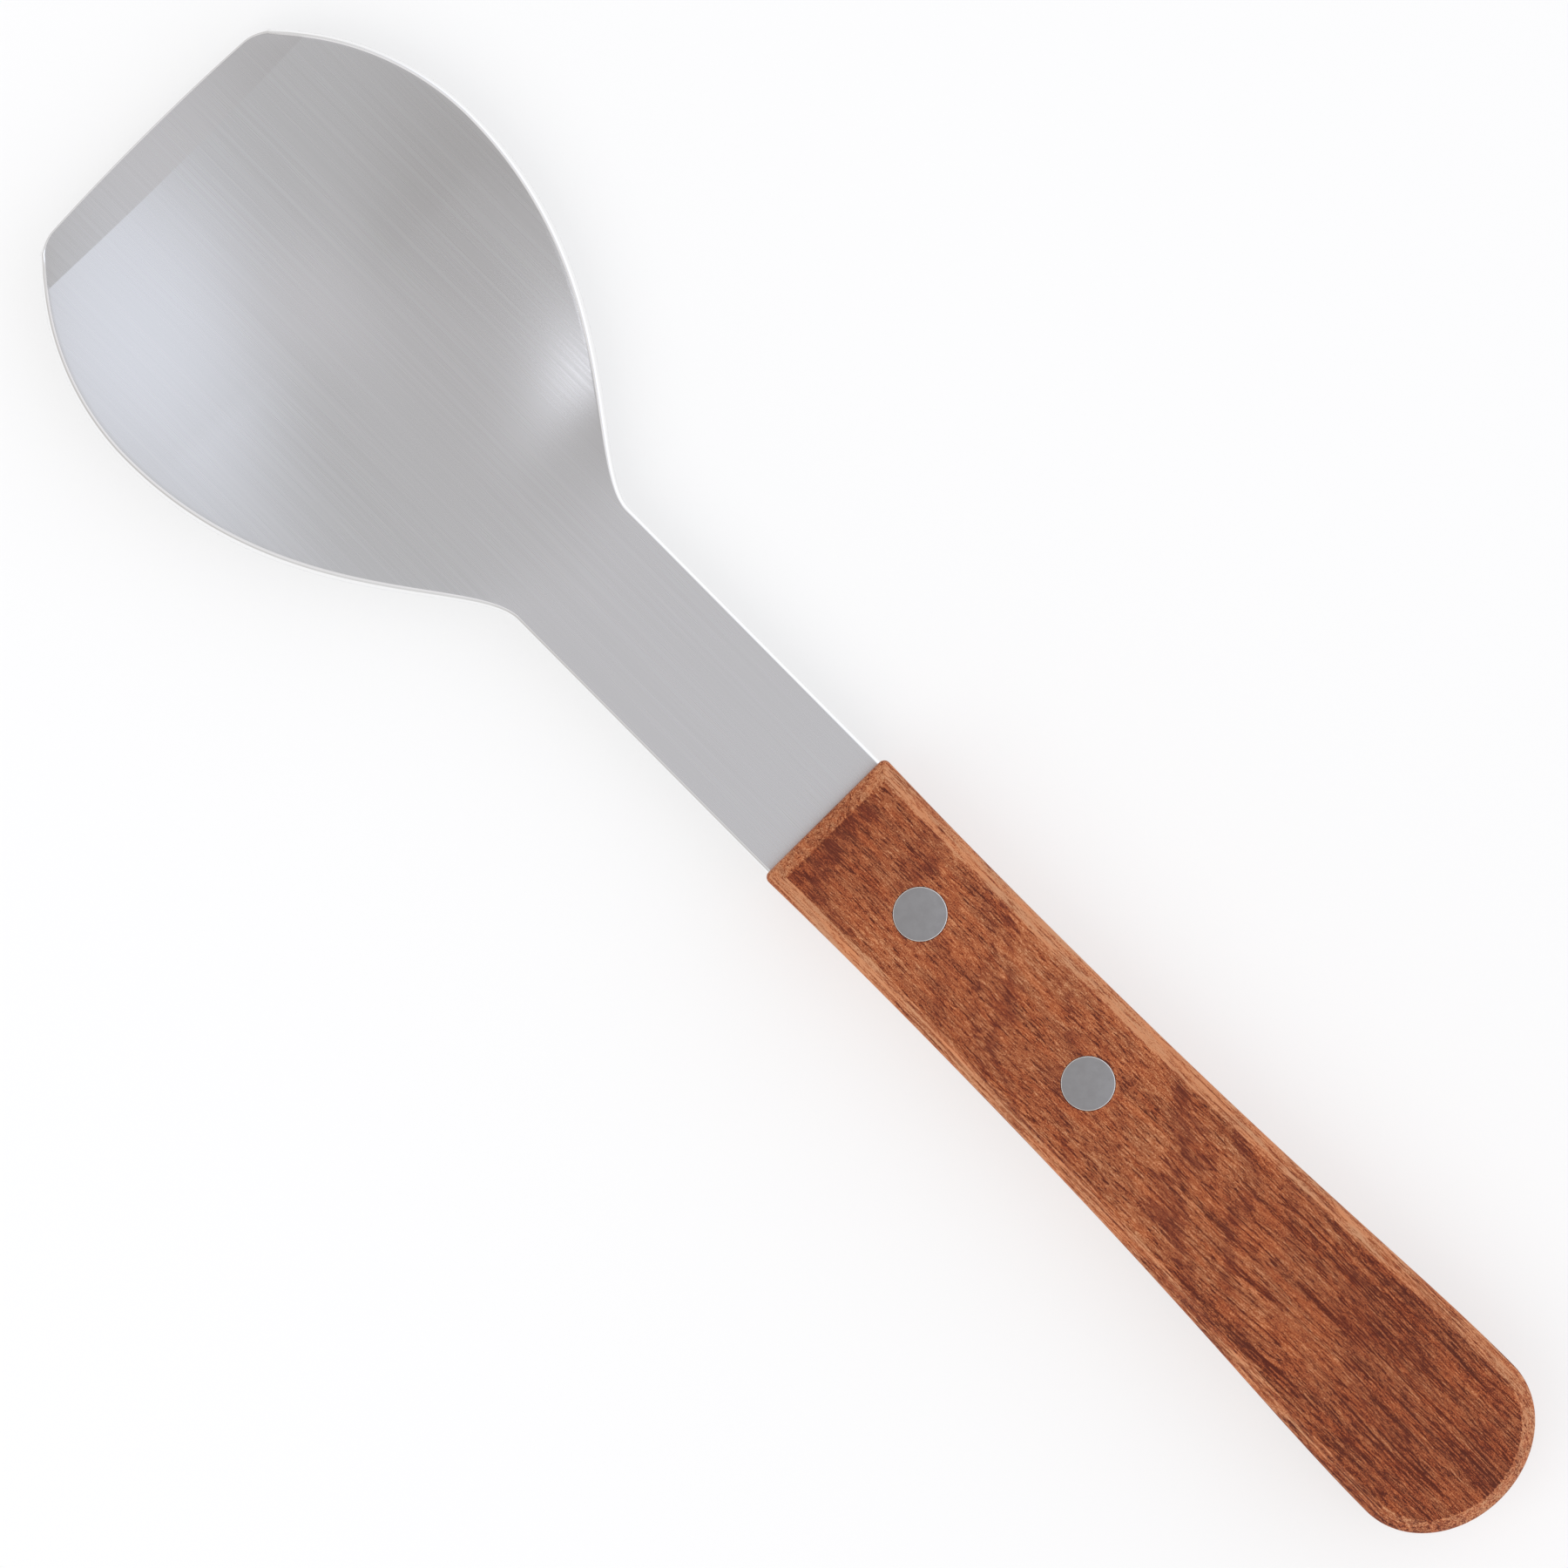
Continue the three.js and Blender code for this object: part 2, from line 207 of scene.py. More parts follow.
class SPADE_PG_stage(bpy.types.PropertyGroup):
    """Camera, light and floor"""

    photo_size: number("Photo size", "Side of the square picture in pixels", 1800)
    length_px: number("Length in picture", "Spade's length in pixels", 2201.3)
    middle_px: bpy.props.FloatVectorProperty(
        name="Middle in picture",
        description="Middle of the spade's length in pixels",
        default=(942.4, 934.7),
        size=2,
    )
    slope: angle("Slope in picture", "Spade's axis below level", 45.23)
    camera_distance: length("Camera distance", "Camera above the spade", 0.95)
    floor: colour("Floor", "Pale floor under the spade", (0.95, 0.95, 0.95))
    floor_reach: length("Floor reach", "Middle of the floor to its edges", 3.0)
    floor_gap: length("Floor gap", "Room between the floor and the spade", 0.1 * MM)
    floor_white: share("Floor white", "How much of the floor shows as plain white", 0.6)
    sky: number("Sky", "Strength of the light from all round", 1.3)
    overhead: colour("Overhead", "Sky straight above", (0.64, 0.63, 0.64))
    even: colour("Even sky", "Sky at neither end of its gradient", (0.545, 0.54, 0.54))
    dim: colour("Dim sky", "Sky away from the window", (0.455, 0.442, 0.435))
    horizon: colour("Horizon", "White wall behind the floor", (0.77, 0.77, 0.77))
    near_window: colour("Near the window", "Sky beside the window", (0.64, 0.645, 0.665))
    window: colour("Window", "Sky in the window", (0.90, 0.93, 1.0))
    window_side: triple("Window side", "Direction of the window", (-0.66, -0.75, 0.0))
    pale_side: triple("Pale side", "Direction in which the overhead sky reaches down", (0.5, 0.12, 0.86))
    key_place: triple("Key place", "Place of the lamp for the wood", (0.15, 0.6, 1.0))
    key_width: length("Key width", "Shorter side of the lamp for the wood", 0.7)
    key_length: length("Key length", "Longer side of the lamp for the wood", 0.9)
    key_power: number("Key power", "Lamp for the wood, in watts", 3.3)
    glint_spot: triple(
        "Glint spot",
        "Glint on the shoulder: back from the edge, across and up",
        (52.5 * MM, -20.0 * MM, 6.0 * MM),
    )
    glint_side: triple("Glint side", "Direction from that spot to its lamp", (0.34, 0.52, 0.78))
    glint_distance: length("Glint distance", "That spot to its lamp", 60.0 * MM)
    glint_width: length("Glint width", "Each side of the glint's lamp", 8.0 * MM)
    glint_spread: angle("Glint spread", "How wide the glint's lamp shines", 45)
    glint_power: number("Glint power", "Lamp for the glint, in milliwatts", 0.034)


# Meshes


def place_piece(bm, name, node, material):
    """Makes the finished mesh an object that stands for a CAD node, hides the node and hangs the object on
    the root.
    """
    mesh = bpy.data.meshes.new(name)
    bm.to_mesh(mesh)
    bm.free()
    mesh.materials.append(material)
    piece = bpy.data.objects.new(name, mesh)
    bpy.context.scene.collection.objects.link(piece)
    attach(piece, ROOT)
    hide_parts(node)
    return piece


def items(geometry, kind):
    """The items of one kind in what a mesh operator gives back."""
    return [item for item in geometry if isinstance(item, kind)]


def shade(bm):
    """Smooth faces, with a hard line wherever two of them meet at a sharp angle."""
    for face in bm.faces:
        face.smooth = True
    for edge in bm.edges:
        if edge.is_manifold and edge.calc_face_angle() > SHARP_ANGLE:
            edge.smooth = False


def cut(piece, *cutters):
    """Cuts closed shapes out of a piece, hardens the cut edges and removes the shapes."""
    for cutter in cutters:
        modifier = piece.modifiers.new("cut", "BOOLEAN")
        modifier.operation = "DIFFERENCE"
        modifier.solver = "EXACT"
        modifier.object = cutter
    bm = bmesh.new()
    bm.from_object(piece, bpy.context.evaluated_depsgraph_get())
    shade(bm)
    piece.modifiers.clear()
    bm.to_mesh(piece.data)
    bm.free()
    for cutter in cutters:
        shape = cutter.data
        bpy.data.objects.remove(cutter)
        bpy.data.meshes.remove(shape)


def cutter_from(bm, name):
    """A hidden shape to cut with."""
    mesh = bpy.data.meshes.new(name)
    bm.to_mesh(mesh)
    bm.free()
    cutter = bpy.data.objects.new(name, mesh)
    bpy.context.scene.collection.objects.link(cutter)
    return cutter


def upright_cutter(radius, bottom, top, middle):
    """A cylinder that cuts a hole from bottom to top."""
    bm = bmesh.new()
    made = bmesh.ops.create_cone(
        bm, cap_ends=True, segments=TURNED_SIDES, radius1=radius, radius2=radius, depth=top - bottom
    )
    bmesh.ops.translate(bm, verts=made["verts"], vec=(middle.x, middle.y, (bottom + top) / 2))
    return cutter_from(bm, "hole")


def middle_of(box):
    """Middle of a low and a high corner."""
    return (box[0] + box[1]) / 2


def steps(start, end, count):
    """Evenly spaced numbers from start to end, both included."""
    return [start + (end - start) * i / count for i in range(count + 1)]


def bezier(points, t):
    """Point on a cubic curve, with t from 0 at its start to 1 at its end."""
    a, b, c, d = points
    return a * (1 - t) ** 3 + b * 3 * t * (1 - t) ** 2 + c * 3 * t * t * (1 - t) + d * t**3


# Blade


def blade_front(size):
    """The bowed cutting edge, the arc of each side and the round between them, as (back, across)."""
    corner = Vector((size.edge_bow, size.edge_width / 2))
    widest = Vector((size.widest_from_edge, size.bowl_width / 2))
    bow_radius = corner.length_squared / (2 * size.edge_bow)
    bow_centre = Vector((bow_radius, 0))
    side_radius = (widest - corner).length_squared / (2 * (widest.y - corner.y))
    side_centre = Vector((widest.x, widest.y - side_radius))

    to_bow = bow_radius - size.corner_radius
    to_side = side_radius - size.corner_radius
    between = side_centre - bow_centre
    reach = (to_bow**2 - to_side**2 + between.length_squared) / (2 * between.length)
    offset = math.sqrt(to_bow**2 - reach**2)
    direction = between.normalized()
    across = Vector((direction.y, -direction.x))
    if across.y < 0:
        across = -across
    centre = bow_centre + direction * reach + across * offset
    edge_end = bow_centre + (centre - bow_centre).normalized() * bow_radius
    side_start = side_centre + (centre - side_centre).normalized() * side_radius

    def setback(out):
        """How far the front lies back at a distance out from the middle."""
        out = abs(out)
        if out < edge_end.y:
            return bow_radius - math.sqrt(bow_radius**2 - out**2)
        return centre.x - math.sqrt(max(size.corner_radius**2 - (out - centre.y) ** 2, 0))

    def side_half(back):
        """Half width of the bowl ahead of its widest part."""
        return side_centre.y + math.sqrt(side_radius**2 - (back - side_centre.x) ** 2)

    return SimpleNamespace(side_start=side_start, setback=setback, side_half=side_half)


def blade_stations(size, front):
    """Points down one side, inside the rounded rim, from the front corner to the end of the tang."""
    neck_half = size.neck_width / 2 - size.rim_round
    widest = Vector((size.widest_from_edge, size.bowl_width / 2 - size.rim_round))
    run = size.bowl_length - size.widest_from_edge
    shoulder = [
        widest,
        widest + Vector((size.shoulder_fullness * run, 0)),
        Vector((size.bowl_length - size.neck_blend * run, neck_half)),
        Vector((size.bowl_length, neck_half)),
    ]
    dish_end = size.bowl_length + size.dish_run_out
    tang_end = edge_x - blade_low.x - size.rim_round

    def on_side(back):
        """Point on the side ahead of the widest part."""
        return Vector((back, front.side_half(back) - size.rim_round))

    stations = [on_side(back) for back in steps(front.side_start.x, size.ground_width, GROUND_ROWS)]
    stations += [on_side(back) for back in steps(size.ground_width, widest.x, SIDE_ROWS)[1:]]
    stations += [bezier(shoulder, t) for t in steps(0, 1, SHOULDER_ROWS)[1:]]
    straight = steps(size.bowl_length, dish_end, RUN_OUT_ROWS)[1:]
    straight += steps(dish_end, tang_end - size.tang_round, TANG_ROWS)[1:-1]
    stations += [Vector((back, neck_half)) for back in straight]
    for turn in steps(0, math.pi / 2, CORNER_STEPS):
        back = tang_end - size.tang_round * (1 - math.sin(turn))
        stations.append(Vector((back, neck_half - size.tang_round * (1 - math.cos(turn)))))
    return stations


def dish(size, back, side):
    """Depth of the bowl at a place down the blade and across it."""
    dish_end = size.bowl_length + size.dish_run_out
    place = (back - size.deepest_from_edge) / (dish_end - size.deepest_from_edge)
    if place >= 1:
        return 0.0
    towards_neck = (back - size.deepest_from_edge) / (size.bowl_length - size.deepest_from_edge)
    towards_neck = min(max(towards_neck, 0), 1)
    ease = size.rim_ease - towards_neck * (size.rim_ease + size.shoulder_steepness)
    section = (1 - side**2) * (1 - ease * side**2)
    return size.dish_depth * math.cos(math.pi / 2 * place) ** 2 * section


def rim_profile(size, thickness):
    """Rounded edge of the sheet as (outwards, down) from its upper corner to its lower one."""
    radius = min(size.rim_round, RIM_SHARE_OF_SHEET * thickness)
    turns = steps(0, math.pi / 2, RIM_STEPS)
    upper = [(radius * math.sin(turn), radius * (1 - math.cos(turn))) for turn in turns]
    return upper + [(out, thickness - down) for out, down in reversed(upper)]


def lay_sheet(bm, key, size):
    """Lays a grid on the sheet's middle surface and tells what is known at each of its points."""
    front = blade_front(size)
    stations = blade_stations(size, front)
    last_row = len(stations) - 1
    bmesh.ops.create_grid(bm, x_segments=last_row, y_segments=BLADE_COLUMNS, size=1.0)
    points = []
    for order, vert in enumerate(bm.verts):
        row = round((vert.co.x + 1) / 2 * last_row)
        side = vert.co.y
        station = stations[row]
        ground = (station.x - front.side_start.x) / (size.ground_width - front.side_start.x)
        ground = min(max(ground, 0), 1)
        back = station.x + (1 - ground) * (front.setback(side * front.side_start.y) - front.side_start.x)
        vert[key] = order
        vert.co = (edge_x - back, side * station.y, tang_level - dish(size, back, side))
        thickness = size.edge_thickness + (size.sheet - size.edge_thickness) * ground
        points.append(SimpleNamespace(row=row, thickness=thickness, outwards=Vector()))
    bmesh.ops.recalc_face_normals(bm, faces=bm.faces)
    if sum(face.normal.z for face in bm.faces) < 0:
        bmesh.ops.reverse_faces(bm, faces=bm.faces)
    bm.normal_update()
    for vert in bm.verts:
        points[vert[key]].normal = vert.normal.copy()
    return points


def face_outwards(rim, key, points):
    """Adds up, at each point of the rim, the ways out of the sheet."""
    for edge in rim:
        face = edge.link_faces[0]
        along = (edge.verts[1].co - edge.verts[0].co).normalized()
        away = along.cross(face.normal)
        inwards = face.calc_center_median() - edge.verts[0].co
        if away.dot(inwards) > 0:
            away = -away
        for vert in edge.verts:
            points[vert[key]].outwards += away


def thicken(bm, key, points, sheet):
    """Adds a lower grid and moves both to the faces of the sheet, which is ground thin from above."""
    lower = bmesh.ops.duplicate(bm, geom=bm.faces[:])["geom"]
    bmesh.ops.reverse_faces(bm, faces=items(lower, bmesh.types.BMFace))
    lower_verts = set(items(lower, bmesh.types.BMVert))
    for vert in bm.verts:
        point = points[vert[key]]
        if vert in lower_verts:
            vert.co -= point.normal * sheet / 2
        else:
            vert.co += point.normal * (point.thickness - sheet / 2)
            point.upper = vert.co.copy()


def round_rim(bm, rim, key, polish_and_highlight, points, size):
    """Carries the upper rim round to the lower one in rings, marked for their polish and their painted
    highlight.
    """
    for ring in range(1, len(rim_profile(size, size.sheet))):
        made = bmesh.ops.extrude_edge_only(bm, edges=rim)["geom"]
        rim = items(made, bmesh.types.BMEdge)
        for face in items(made, bmesh.types.BMFace):
            face[polish_and_highlight] = 1.0
        for vert in items(made, bmesh.types.BMVert):
            point = points[vert[key]]
            outwards, down = rim_profile(size, point.thickness)[ring]
            vert.co = point.upper + point.outwards.normalized() * outwards - point.normal * down


def build_blade(size):
    """The sheet as two grids either side of its middle surface, joined by a rounded rim."""
    bm = bmesh.new()
    key = bm.verts.layers.int.new("key")
    # Rim faces, for their smoother polish and their painted highlight.
    polish_and_highlight = bm.faces.layers.float.new("rim")
    points = lay_sheet(bm, key, size)
    rim = [edge for edge in bm.edges if edge.is_boundary]
    face_outwards(rim, key, points)
    crease = {vert for vert in bm.verts if points[vert[key]].row == GROUND_ROWS}
    thicken(bm, key, points, size.sheet)
    for edge in bm.edges:
        edge.smooth = not crease.issuperset(edge.verts)
    round_rim(bm, rim, key, polish_and_highlight, points, size)
    bmesh.ops.remove_doubles(bm, verts=bm.verts, dist=MERGE_DISTANCE)
    bmesh.ops.recalc_face_normals(bm, faces=bm.faces)
    brushed = bm.loops.layers.uv.new("brushed")
    for face in bm.faces:
        for loop in face.loops:
            loop[brushed].uv = (loop.vert.co.y, loop.vert.co.x)
    return bm


# Handle


def handle_half(size, neck_half, back):
    """Half width of the handle at a distance behind its front, ahead of its rounded end."""
    front_half = neck_half + size.over_neck
    waist_half = front_half - size.waist_inset
    butt_half = front_half + size.butt_flare
    if back < size.waist_from_front:
        to_waist = 1 - back / size.waist_from_front
        return waist_half + size.waist_inset * to_waist**2
    butt_start = handle_high.x - handle_low.x - size.butt_round
    run = butt_start - size.waist_from_front
    flare = [
        Vector((size.waist_from_front, waist_half)),
        Vector((size.waist_from_front + size.waist_hold * run, waist_half)),
        Vector((butt_start - size.butt_hold * run, butt_half)),
        Vector((butt_start, butt_half)),
    ]
    low, high = 0.0, 1.0
    for _ in range(FLARE_HALVINGS):
        middle = (low + high) / 2
        if bezier(flare, middle).x < back:
            low = middle
        else:
            high = middle
    return bezier(flare, low).y


def handle_ring(size, neck_half, side_inset, butt_inset, height):
    """One closed outline of the handle at a height, drawn in from the plan, starting at a front corner."""
    handle_length = handle_high.x - handle_low.x
    butt_start = handle_length - size.butt_round
    butt_half = neck_half + size.over_neck + size.butt_flare - side_inset
    radius = max(size.corner_radius - side_inset, LEAST_CORNER)
    half = []
    corner_back = side_inset + radius
    corner_half = handle_half(size, neck_half, corner_back) - side_inset - radius
    for turn in steps(0, math.pi / 2, CORNER_STEPS):
        half.append((corner_back - radius * math.cos(turn), corner_half + radius * math.sin(turn)))
    for back in steps(corner_back, butt_start, HANDLE_ROWS)[1:]:
        half.append((back, handle_half(size, neck_half, back) - side_inset))
    for turn in steps(0, math.pi / 2, BUTT_STEPS)[1:-1]:
        back = butt_start + (size.butt_round - butt_inset) * math.sin(turn)
        half.append((back, butt_half * math.cos(turn)))
    tip = [(handle_length - butt_inset, 0.0)]
    outline = half + tip + [(back, -across) for back, across in reversed(half)]
    return [Vector((handle_high.x - back, across, height)) for back, across in outline]


def bevel_profile(size):
    """Side of the handle as (inset, height), from its bottom face to its top face, with rounded ridges."""
    low, high, bevel = handle_low.z, handle_high.z, size.side_bevel
    lower = [Vector((2 * bevel, low)), Vector((bevel, low)), Vector((0, low + bevel))]
    corners = lower + [Vector((inset, low + high - height)) for inset, height in reversed(lower)]
    profile = []
    for before, ridge, after in zip(corners, corners[1:], corners[2:]):
        start = ridge + (before - ridge).normalized() * size.edge_round
        end = ridge + (after - ridge).normalized() * size.edge_round
        profile += [bezier((start, ridge, ridge, end), t) for t in steps(0, 1, RIDGE_STEPS)]
    return profile


def build_handle(size, neck_half):
    """The wood as a stack of outlines, from the bottom face up to the top face."""
    butt_share = size.butt_bevel / size.side_bevel
    rings = [
        handle_ring(size, neck_half, inset, inset * butt_share, height)
        for inset, height in bevel_profile(size)
    ]
    bm = bmesh.new()
    place = bm.verts.layers.int.new("place")
    first = [bm.verts.new(point) for point in rings[0]]
    for i, vert in enumerate(first):
        vert[place] = i
    edges = [bm.edges.new((first[i - 1], first[i])) for i in range(len(first))]
    bmesh.ops.contextual_create(bm, geom=edges)
    for ring in rings[1:]:
        made = bmesh.ops.extrude_edge_only(bm, edges=edges)["geom"]
        edges = items(made, bmesh.types.BMEdge)
        for vert in items(made, bmesh.types.BMVert):
            vert.co = ring[vert[place]]
    bmesh.ops.contextual_create(bm, geom=edges)
    bmesh.ops.recalc_face_normals(bm, faces=bm.faces)
    return bm


def slot_cutter(size, sheet):
    """The saw cut that the tang slides into."""
    end = blade_low.x - SLOT_PAST_TANG
    front = handle_high.x + CUT_PAST
    bm = bmesh.new()
    made = bmesh.ops.create_cube(bm, size=1.0)
    height = sheet + 2 * size.slot_clearance
    bmesh.ops.scale(bm, verts=made["verts"], vec=(front - end, SLOT_CUT_WIDTH, height))
    bmesh.ops.translate(bm, verts=made["verts"], vec=((front + end) / 2, 0, tang_level))
    return cutter_from(bm, "slot")


# Rivets


def turned(profile, middle):
    """A solid turned from a profile of (radius, height) that starts and ends on the axis."""
    bm = bmesh.new()
    verts = [bm.verts.new((middle.x + radius, middle.y, height)) for radius, height in profile]
    edges = [bm.edges.new(pair) for pair in zip(verts, verts[1:])]
    bmesh.ops.spin(
        bm,
        geom=verts + edges,
        cent=(middle.x, middle.y, 0),
        axis=(0, 0, 1),
        angle=2 * math.pi,
        steps=TURNED_SIDES,
        use_merge=True,
        use_duplicate=False,
    )
    bmesh.ops.remove_doubles(bm, verts=bm.verts, dist=MERGE_DISTANCE)
    bmesh.ops.recalc_face_normals(bm, faces=bm.faces)
    shade(bm)
    return bm


def head_rim(size, radius, face, sign):
    """Quarter round from the side of a head to its face, which looks up or down by its sign."""
    turns = steps(0, math.pi / 2, HEAD_RIM_STEPS)
    side, centre = radius - size.rim, face - sign * size.rim
    return [(side + size.rim * math.cos(turn), centre + sign * size.rim * math.sin(turn)) for turn in turns]


def rivet_tube_profile(size, box):
    """Upper half: a flat head over a tube with a blind bore."""
    low, high = box
    head_radius = (high.x - low.x) / 2
    bore = size.pin / 2 + size.pin_clearance
    seat = high.z - size.head
    face = handle_high.z + size.proud
    return [
        (0, seat),
        (bore, seat),
        (bore, low.z),
        (size.tube / 2, low.z),
        (size.tube / 2, seat),
        (head_radius, seat),
        *head_rim(size, head_radius, face, 1),
        (0, face),
    ]


def rivet_post_profile(size, box):
    """Lower half: a flat head under a pin."""
    low, high = box
    head_radius = (high.x - low.x) / 2
    seat = low.z + size.head
    face = handle_low.z
    return [
        (0, face),
        *reversed(head_rim(size, head_radius, face, -1)),
        (head_radius, seat),
        (size.pin / 2, seat),
        (size.pin / 2, high.z),
        (0, high.z),
    ]


# Finishes


class Shading:
    """A node tree and short ways to add linked nodes to it."""

    def __init__(self, owner):
        owner.use_nodes = True
        self.tree = owner.node_tree
        self.nodes = owner.node_tree.nodes

    def feed(self, socket, value):
        """Links an output to a socket, or sets the socket's own value."""
        if isinstance(value, bpy.types.NodeSocket):
            self.tree.links.new(value, socket)
        else:
            socket.default_value = value

    def add(self, kind, inputs=None, output=0, **settings):
        """Adds a node with its settings and inputs, and gives back one of its outputs."""
        node = self.nodes.new(kind)
        for key, value in settings.items():
            setattr(node, key, value)
        for socket, value in (inputs or {}).items():
            self.feed(node.inputs[socket], value)
        return node.outputs[output]

    def set(self, **inputs):
        """Feeds the Principled shader, whose sockets are named with underscores for spaces."""
        for name, value in inputs.items():
            self.feed(self.nodes["Principled BSDF"].inputs[name.replace("_", " ")], value)

    def math(self, operation, a, b=0.0):
        """Works out one sum from one or two numbers."""
        return self.add("ShaderNodeMath", {0: a, 1: b}, operation=operation)

    def total(self, first, *others):
        """Adds numbers together."""
        for other in others:
            first = self.math("ADD", first, other)
        return first

    def times(self, first, *others):
        """Multiplies numbers together."""
        for other in others:
            first = self.math("MULTIPLY", first, other)
        return first

    def combine(self, x, y, z):
        """Makes a vector of three numbers."""
        return self.add("ShaderNodeCombineXYZ", {0: x, 1: y, 2: z})

    def split(self, vector):
        """Takes a vector apart into three numbers."""
        node = self.nodes.new("ShaderNodeSeparateXYZ")
        self.tree.links.new(vector, node.inputs[0])
        return node.outputs

    def dot(self, vector, direction):
        """How far a vector points in a direction."""
        return self.add("ShaderNodeVectorMath", {0: vector, 1: direction}, "Value", operation="DOT_PRODUCT")

    def noise(self, vector, scale, detail=2.0, roughness=0.5):
        """Noise of a place after it is stretched by a scale on each axis."""
        stretched = self.add("ShaderNodeVectorMath", {0: vector, 1: scale}, operation="MULTIPLY")
        inputs = {"Vector": stretched, "Scale": 1.0, "Detail": detail, "Roughness": roughness}
        return self.add("ShaderNodeTexNoise", inputs)

    def noise_along(self, place, scale, detail=2.0):
        """Noise of one number."""
        inputs = {"W": place, "Scale": scale, "Detail": detail}
        return self.add("ShaderNodeTexNoise", inputs, noise_dimensions="1D")

    def remap(self, value, low, high, to_low=0.0, to_high=1.0, kind="SMOOTHSTEP"):
        """Moves a number from one range to another and keeps it there."""
        inputs = {"Value": value, "From Min": low, "From Max": high, "To Min": to_low, "To Max": to_high}
        return self.add("ShaderNodeMapRange", inputs, interpolation_type=kind)

    def spread(self, noise, reach):
        """Turns noise into a shift of up to a reach either way."""
        return self.remap(noise, 0.2, 0.8, -reach, reach, kind="LINEAR")

    def mix(self, amount, a, b):
        """Mixes two colours."""
        node = self.nodes.new("ShaderNodeMix")
        node.data_type = "RGBA"
        self.feed(node.inputs[0], amount)
        for socket, value in ((node.inputs[6], a), (node.inputs[7], b)):
            self.feed(socket, value if isinstance(value, bpy.types.NodeSocket) else (*value, 1.0))
        return node.outputs[2]

    def ramp(self, value, stops):
        """Colour at a value between stops of (value, colour)."""
        node = self.nodes.new("ShaderNodeValToRGB")
        self.feed(node.inputs[0], value)
        elements = node.color_ramp.elements
        for stop in stops[2:]:
            elements.new(stop[0])
        for element, (position, tint) in zip(elements, stops):
            element.position = position
            element.color = (*tint, 1.0)
        return node.outputs[0]

    def place(self, start):
        """Millimetres back from a start point, across and up."""
        coordinates = self.add("ShaderNodeTexCoord", output="Object")
        scale = (-MM_PER_METRE, MM_PER_METRE, MM_PER_METRE)
        location = [-place * factor for place, factor in zip(start, scale)]
        return self.add("ShaderNodeMapping", {"Vector": coordinates, "Location": location, "Scale": scale})

    def bump(self, height, strength, distance):
        """Normal of a surface that is raised by a height."""
        return self.add("ShaderNodeBump", {"Height": height, "Strength": strength, "Distance": distance})


def shades(tint, contrast):
    """A darker and a lighter shade of a colour."""
    return [(1 - contrast) * part for part in tint], [(1 + contrast) * part for part in tint]


def brushed_steel(size):
    """Satin sheet with long brush lines down the blade and a polished rim with a painted highlight."""
    material = bpy.data.materials.new("brushed_steel")
    steel = Shading(material)
    place = steel.place((edge_x, 0, tang_level))
    lines = steel.noise(place, (0.018, 2.0, 0.0), detail=1.0, roughness=0.6)
    cloud = steel.noise(place, (0.05, 0.08, 0.08))
    # The rim mask gives the rim a smoother polish and a lighter colour, which is a painted highlight.
    rim = steel.add("ShaderNodeAttribute", output="Fac", attribute_name="rim")
    dull, bright = shades(size.steel, contrast=0.02)
    sheet = steel.mix(steel.remap(lines, 0.3, 0.7, kind="LINEAR"), dull, bright)
    roughness = steel.total(steel.remap(lines, 0.3, 0.7, 0.25, 0.29), steel.spread(cloud, 0.02))
    steel.set(
        Base_Color=steel.mix(rim, sheet, size.painted_rim_highlight),
        Metallic=1.0,
        Roughness=steel.math("MINIMUM", roughness, steel.remap(rim, 0.0, 1.0, 1.0, 0.15)),
        Anisotropic=size.brushing,
        Tangent=steel.add("ShaderNodeTangent", direction_type="UV_MAP", uv_map="brushed"),
    )
    return material


def growth_bands(wood, place, fibre):
    """Broken dark bands on a slant, fainter towards the butt."""
    back, across, up = wood.split(place)
    lean = wood.times(across, wood.remap(back, 0.0, 25.0, -0.5, -0.95))
    wave = wood.spread(wood.noise(place, (0.06, 0.11, 0.11)), 6.0)
    ragged = wood.spread(wood.noise(fibre, (0.2, 3.0, 3.0), detail=3.0, roughness=0.7), 3.0)
    ring = wood.total(back, lean, wave, ragged, wood.times(up, 0.6))
    growth = wood.total(wood.noise_along(ring, 0.21, 2.5), wood.remap(back, 8.0, 24.0, 0.06, 0.0))
    broken = wood.remap(wood.noise(fibre, (0.25, 1.2, 1.2)), 0.35, 0.6, 0.3, 1.0)
    fainter = wood.remap(back, 55.0, 85.0, 1.0, 0.4)
    return wood.times(wood.remap(growth, 0.5, 0.64), broken, fainter)


def open_pores(wood, fibre, back):
    """Crowds of dashes and short marks along the fibres, and long lines towards the butt."""
    crowd = wood.remap(wood.noise(fibre, (0.16, 0.6, 0.6)), 0.3, 0.6, 0.25, 1.0)
    dashes = wood.remap(wood.noise(fibre, (0.45, 4.6, 4.6), detail=1.0), 0.56, 0.64)
    short = wood.remap(wood.noise(fibre, (0.95, 7.5, 7.5), detail=1.0), 0.58, 0.66, 0.0, 0.8)
    lines = wood.remap(wood.noise(fibre, (0.07, 2.8, 2.8), detail=2.0, roughness=0.65), 0.53, 0.63)
    lines = wood.times(lines, wood.remap(back, 35.0, 80.0, 0.2, 1.0))
    return wood.math("MAXIMUM", wood.times(wood.math("MAXIMUM", dashes, short), crowd), lines)


